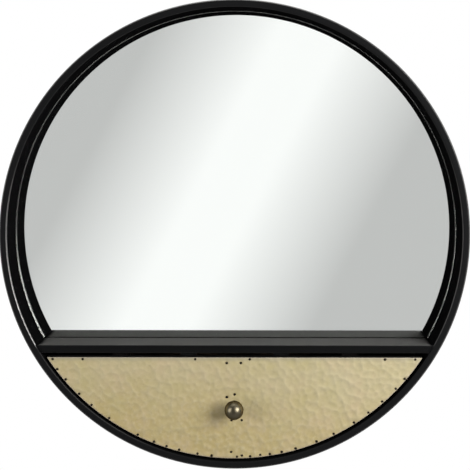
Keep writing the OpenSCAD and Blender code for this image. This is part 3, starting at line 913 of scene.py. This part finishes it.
# %% Knob
knob_low, knob_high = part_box("knob")
knob_x = (knob_low.x + knob_high.x) / 2
knob_z = (knob_low.z + knob_high.z) / 2
ball_r = (knob_high.x - knob_low.x) / 2
ball_height = sheet_front_y - knob_low.y - ball_r
FOOT_R = 7.5 * MM
FOOT_T = 2.0 * MM
NECK_R = 4.0 * MM
FOOT_FILLET = 0.5 * MM
COVE_END, FILLET_START = 262, 70
BALL_STEPS, NECK_STEPS, COVE_STEPS, FILLET_STEPS = 48, 4, 12, 4
KNOB_SIDES = 96
RUB_RISE = 1.6


def arc(centre, radius, start, end, steps):
    """Points on an arc in the plane of (radius, height), angles in degrees from the radius axis."""
    angles = [radians(start + (end - start) * i / steps) for i in range(steps + 1)]
    return [(centre[0] + radius * cos(a), centre[1] + radius * sin(a)) for a in angles]


def knob_profile():
    cove_r = FOOT_R - NECK_R
    neck_top = ball_height - sqrt(ball_r ** 2 - NECK_R ** 2)
    low_angle = -degrees(acos(NECK_R / ball_r))
    ball = arc((0.0, ball_height), ball_r, 90, low_angle, BALL_STEPS)
    cove = arc((FOOT_R, FOOT_T + cove_r), cove_r, 180, COVE_END, COVE_STEPS)
    fillet = (FOOT_R - FOOT_FILLET, FOOT_T - FOOT_FILLET)
    foot = arc(fillet, FOOT_FILLET, FILLET_START, 0, FILLET_STEPS)
    neck_length = FOOT_T + cove_r - neck_top
    neck = [(NECK_R, neck_top + neck_length * i / NECK_STEPS) for i in range(1, NECK_STEPS)]
    return [(0.0, ball_height + ball_r), *ball[1:], *neck, *cove, *foot, (FOOT_R, 0.0), (0.0, 0.0)]


def darkened_bronze():
    f = material("darkened bronze")
    clouds = f.noise(9 * MM, detail=4.0, rough=0.6)
    turning = f.noise(0.35 * MM, detail=2.0, stretch=(0.15, 1.0, 0.15))
    rubbed = f.mark("rubbed")
    colour = f.blend(clouds, (0.18, 0.154, 0.099), (0.258, 0.224, 0.151))
    return f.surface({
        # Dark from the ball's middle back to the foot: patina where no hand reaches, and painted shade that
        # outlines the ball.
        "Base Color": f.blend((1 - rubbed) * 0.8, colour, (0.03, 0.024, 0.014)),
        "Metallic": 1.0,
        "Specular Tint": (0.3, 0.26, 0.18, 1.0),
        "Roughness": 0.38 + (clouds - 0.5) * 0.12 + (1 - rubbed) * 0.06,
        "Normal": f.bump(turning * 0.004 * MM)})


def build_knob():
    vertices, faces = turned(knob_profile(), KNOB_SIDES)
    rubbed = [min(1.0, max(0.0, (h - ball_height) / ball_r * RUB_RISE)) for _, _, h in vertices]
    placed = [(knob_x + px, sheet_front_y - h, knob_z + py) for px, py, h in vertices]
    return new_piece("bronze_knob", placed, faces, darkened_bronze(), marks={"rubbed": rubbed})


finish_piece(build_knob(), "drawer", "aged_brass", "knob")

# %% [markdown]
# ## Zinc, wood, board, foam and rubber
#
# The rest of the CAD nodes keep their own shape. Zinc plating has a faint blue and yellow tint and a
# fine crystal pattern. Fibreboard is pressed wood dust, with darker fibres in all directions. Its
# front is black, painted shade that keeps the drawer bay dark where it shows through the gap above the
# drawer. Solid wood has long grain in one direction, so its noise is stretched along the board.

# %% Zinc and fibreboard
# Painted shade: the fibreboard's front is black where it shows through the gap above the drawer.
BAY_SHADE_BLACK = (0.006, 0.006, 0.006)
BAY_SHADE_FACING = (-0.7, -0.4)


def zinc_plate():
    f = material("zinc plated steel")
    rounded, arris = f.edges(0.3 * MM)
    spangle = f.cells(2.6 * MM, output="Color")
    tint = f.noise(14 * MM)
    scratch = f.noise(0.5 * MM, detail=2.0, stretch=(1.0, 1.0, 0.1))
    colour = f.blend(tint, (0.46, 0.48, 0.52), (0.56, 0.55, 0.5))
    return f.surface({
        "Base Color": f.blend(arris * 0.5, colour, (0.66, 0.66, 0.65)),
        "Metallic": 1.0,
        "Roughness": 0.34 + spangle * 0.1 + tint * 0.06,
        "Normal": f.bump(scratch * 0.004 * MM, rounded)})


def fibreboard():
    f = material("raw fibreboard")
    rounded, arris = f.edges(0.5 * MM)
    fibres = f.noise(1.6 * MM, detail=6.0, rough=0.75, twist=1.5)
    flecks = f.noise(3.5 * MM, rough=0.8, twist=3.0).steps_up(0.62, 0.74)
    pressed = f.noise(14 * MM, detail=4.0, rough=0.65, twist=0.8)
    clouds = f.noise(120 * MM).steps_up(0.35, 0.65)
    raw = f.layered(
        (0.215, 0.138, 0.078),
        (fibres, (0.335, 0.232, 0.14)),
        (pressed.steps_up(0.42, 0.66) * 0.3, (0.185, 0.118, 0.064)),
        (flecks * 0.55, (0.12, 0.072, 0.038)),
        (clouds * 0.35 + arris * 0.4, (0.38, 0.275, 0.175)))
    return f.surface({
        # Faces that look to the front are black: painted shade of the drawer bay.
        "Base Color": f.blend(f.facing("Y").steps_up(*BAY_SHADE_FACING), BAY_SHADE_BLACK, raw),
        "Roughness": 0.74 + (fibres - 0.5) * 0.2,
        "Specular IOR Level": 0.3,
        "Normal": f.bump(fibres * 0.05 * MM, rounded)})


zinc = zinc_plate()
board_finish = fibreboard()
print("finishes:", zinc.name, "|", board_finish.name)

# %% [markdown]
# The boards of the box are one species in one finish, but the grain follows each board. So the wood is
# a function of the grain's direction, as a joiner would mark it on the cutting list: along X for the
# front and back of the box, along Y for its sides. Growth rings are soft bands, bent by slow noise and
# cut by short dark pores.

# %% Wood
GRAIN_X, GRAIN_Y = 0, 1
PORE_STRETCH, FIBRE_STRETCH = 0.06, 0.02
DARK_STAIN = ((0.055, 0.038, 0.026), (0.034, 0.023, 0.016), (0.014, 0.01, 0.008))
PLY_STAIN = ((0.1, 0.07, 0.047), (0.066, 0.045, 0.03), (0.03, 0.02, 0.014))
BLACK_STAIN = ((0.01, 0.008, 0.007), (0.006, 0.005, 0.005), (0.004, 0.003, 0.003))
BLACK_PAINT = ((0.02, 0.019, 0.018), (0.014, 0.013, 0.013), (0.009, 0.009, 0.009))


def wood(name, along, tones, ring=7 * MM, roughness=0.5, sheen=0.4):
    """Wood in three tones, pale, dark and the pores' own, with its grain along one axis."""
    f = material(name)
    pale, dark, pore = tones
    rounded, arris = f.edges(0.5 * MM)
    stretch, long_stretch = [tuple(share if axis == along else 1.0 for axis in range(3))
                             for share in (PORE_STRETCH, FIBRE_STRETCH)]
    drift = f.noise(45 * MM, detail=2.0, stretch=stretch)
    rings = f.noise(ring, detail=2.0, stretch=long_stretch, twist=0.6)
    fibres = f.noise(0.7 * MM, stretch=long_stretch)
    pores = f.noise(0.9 * MM, detail=1.0, stretch=stretch).steps_up(0.66, 0.76)
    bands = rings.steps_up(0.3, 0.7) * 0.7 + fibres * 0.3
    return f.surface({
        "Base Color": f.layered(pale, (bands, dark), (drift * 0.3, dark), (pores * 0.6, pore),
                                (arris * 0.25, pale)),
        "Roughness": roughness + (fibres - 0.5) * 0.14 - arris * 0.08,
        "Specular IOR Level": sheen,
        "Normal": f.bump((fibres - pores * 1.5) * 0.03 * MM, rounded)})


grain_x = wood("dark stained hardwood, grain across", GRAIN_X, DARK_STAIN)
grain_y = wood("dark stained hardwood, grain front to back", GRAIN_Y, DARK_STAIN)
ply = wood("dark stained plywood", GRAIN_X, PLY_STAIN, ring=16 * MM)
stained = wood("black stained hardwood", GRAIN_Y, BLACK_STAIN, roughness=0.6, sheen=0.1)
painted = wood("black painted board", GRAIN_X, BLACK_PAINT, ring=30 * MM, roughness=0.55)
print("woods:", [made.name for made in (grain_x, grain_y, ply, stained, painted)])

# %% [markdown]
# The last two are hidden in use: white foam tape, whose cut side is full of tiny bubbles, and the
# black rubber pads that the glass stands on. Then every CAD node gets its finish. The band is one node
# with two coats: the faces that look towards the middle get a darker matt coat, painted shade, since
# no wall stands behind the mirror to keep them dark.

# %% Foam and rubber
def foam():
    f = material("white foam tape")
    bubbles = f.cells(0.45 * MM)
    return f.surface({
        "Base Color": f.blend(bubbles.clamped(), (0.62, 0.62, 0.6), (0.8, 0.8, 0.78)),
        "Roughness": 0.8 + bubbles * 0.1,
        "Normal": f.bump(bubbles * 0.08 * MM)})


def rubber():
    f = material("black rubber")
    bloom = f.noise(6 * MM, detail=4.0)
    return f.surface({
        "Base Color": f.blend(bloom, (0.018, 0.018, 0.018), (0.04, 0.039, 0.038)),
        "Roughness": 0.72 + bloom * 0.15,
        "Specular IOR Level": 0.3,
        "Normal": f.bump(bloom * 0.02 * MM)})


FINISHES = {
    plain_coat: "rear_band shelf_rear_bar runner_left runner_right drawer_stops board_tabs panel_tabs "
                "hanger_left hanger_right",
    zinc: "board_screws panel_screws stop_screws knob_screw knob_washer front_screws box_pins",
    board_finish: "mirror_board back_panel",
    stained: "kicker_left kicker_right",
    painted: "front_board",
    grain_x: "box_front box_back",
    grain_y: "box_side_left box_side_right",
    ply: "box_bottom",
    foam(): "mirror_tape",
    rubber(): "setting_pads"}
for finish, names in FINISHES.items():
    for name in names.split():
        nodes[name].data.materials.clear()
        nodes[name].data.materials.append(finish)
# Faces of the band that look towards the middle take the darker matt coat: painted shade, as no wall stands
# behind to keep them dark.
band = nodes["rear_band"].data
band.materials.append(band_shade_coat)
for face in band.polygons:
    outwards = face.normal.x * face.center.x + face.normal.z * (face.center.z - centre_z)
    face.material_index = int(outwards < 0)
print("CAD nodes with a finish:", sum(len(names.split()) for names in FINISHES.values()))

# %% [markdown]
# ## Light
#
# A mirror is lit by what it reflects, so the studio matters as much as the lamps. To the camera the
# world is plain white. Round the object it is a room with a dark front, where the photographer stands,
# a bright back and a paler ceiling: the black coat stays black from the front and still shows its shape
# from behind.
#
# The mirror sees a room of its own, pale grey and crossed by one wide strip of light that leans to the
# right, which is the pale diagonal band of the photograph. A path that went through the glass and met
# nothing but the silver is told from all others by its Transmission Depth and its few bounces.

# %% The room
STRIP_LEAN = (0.886, -0.464)
STRIP_OFFSET = -0.0035
STRIP_CORE = 0.027
STRIP_EDGE = 0.126
MIRROR_GREY = 0.612
STRIP_WHITE = 1.12
STUDIO_FRONT = 0.03
STUDIO_BACK = 0.8
STUDIO_TOP = 0.25
BACK_FROM = (-0.2, 0.6)
TOP_FROM = (0.35, 0.95)
WHITE = (1.0, 1.0, 1.0, 1.0)


def build_room():
    world = bpy.data.worlds.new("studio")
    scene.world = world
    world.use_nodes = True
    f = Finish(world.node_tree)
    direction = f.node("TexCoord", output="Generated")
    x, y, z = [f.axis(direction, name) for name in "XYZ"]
    off_strip = abs(x * STRIP_LEAN[0] + z * STRIP_LEAN[1] - STRIP_OFFSET)
    strip = ((STRIP_EDGE - off_strip) / (STRIP_EDGE - STRIP_CORE)).clamped()
    mirrored = MIRROR_GREY + strip * (STRIP_WHITE - MIRROR_GREY)
    studio = STUDIO_FRONT + y.steps_up(*BACK_FROM) * (STUDIO_BACK - STUDIO_FRONT)
    studio = studio + z.steps_up(*TOP_FROM) * STUDIO_TOP
    bounces = f.path("Glossy Depth") + f.path("Diffuse Depth")
    in_mirror = f.path("Transmission Depth").above(0.5) * bounces.below(1.5)
    strength = studio + (mirrored - studio) * in_mirror
    strength = strength + (1 - strength) * f.path("Is Camera Ray")
    shader = f.node("Background", {"Color": WHITE, "Strength": strength})
    f.node("OutputWorld", {"Surface": shader})


build_room()
print("room built")

# %% [markdown]
# Two tall softboxes stand in front, a strong one 45 degrees to the right and a weaker one to the left,
# and a third hangs overhead. They draw the bright lines on the arrises, the two highlights on the knob
# and its shadow on the brass.

# %% Softboxes
AIM = Vector((0.0, front_y, centre_z))


def softbox(name, towards, distance, width, height, power):
    data = bpy.data.lights.new(name, "AREA")
    data.shape = "RECTANGLE"
    data.size, data.size_y, data.energy = width, height, power
    lamp = bpy.data.objects.new(name, data)
    scene.collection.objects.link(lamp)
    lamp.location = AIM + Vector(towards).normalized() * distance
    lamp.rotation_mode = "QUATERNION"
    lamp.rotation_quaternion = (AIM - lamp.location).to_track_quat("-Z", "Y")


softbox("key softbox", (0.72, -0.7, 0.26), distance=2.6, width=1.1, height=1.4, power=70)
softbox("fill softbox", (-0.8, -0.6, 0.1), distance=2.6, width=0.9, height=1.4, power=25)
softbox("top softbox", (0.0, 0.0, 1.0), distance=2.2, width=1.8, height=1.2, power=12)
print("softboxes:", [lamp.name for lamp in bpy.data.lights])

# %% [markdown]
# ## The floor
#
# A wall mirror hangs well above the floor, so the floor lies 1.1 m below it and keeps only a faint
# shadow. It is a pale disc whose rim melts into the white background: there the camera sees plain
# white instead of shaded floor. The mirror sees the floor pale too. The gloss of the other pieces sees
# it darker, as if a shaded stand were below them, so that it doesn't turn the black coat grey. From
# below, the floor is clear, so that the underside can be looked at.

# %% Floor
FLOOR_Z = -1.6
FLOOR_R = 3.4
FLOOR_FADE = (1.2, 3.2)
FLOOR_SIDES = 96
PALE_FLOOR = ((0.8, 0.8, 0.8), (0.84, 0.84, 0.84))
SHADED_FLOOR = (0.2, 0.2, 0.2)


def pale_floor():
    f = material("pale floor")
    x, y = [f.axis(f.place(), name) for name in "XY"]
    away = (x * x + y * y) ** 0.5
    shiny = f.path("Is Glossy Ray") * f.path("Transmission Depth").below(0.5)
    paint = f.blend(f.noise(30 * MM, detail=4.0), *PALE_FLOOR)
    shaded = f.node("BsdfPrincipled", {
        "Base Color": f.blend(shiny, paint, SHADED_FLOOR), "Roughness": 0.85})
    white = f.node("Emission", {"Color": WHITE, "Strength": 1.0})
    share = away.steps_up(*FLOOR_FADE) * f.path("Is Camera Ray")
    mixed = f.node("MixShader", {0: share, 1: shaded, 2: white})
    under = f.node("NewGeometry", output="Backfacing")
    clear = f.node("BsdfTransparent")
    both = f.node("MixShader", {0: under, 1: mixed, 2: clear})
    f.node("OutputMaterial", {"Surface": both})
    return f.material


def build_floor():
    rim = [(FLOOR_R * cos(a), FLOOR_R * sin(a), FLOOR_Z) for a in turns(FLOOR_SIDES)]
    vertices = [(0.0, 0.0, FLOOR_Z), *rim]
    faces = [(0, 1 + i, 1 + (i + 1) % FLOOR_SIDES) for i in range(FLOOR_SIDES)]
    return new_piece("floor", vertices, faces, pale_floor(), smooth=False)


floor = build_floor()
print("floor at", FLOOR_Z)
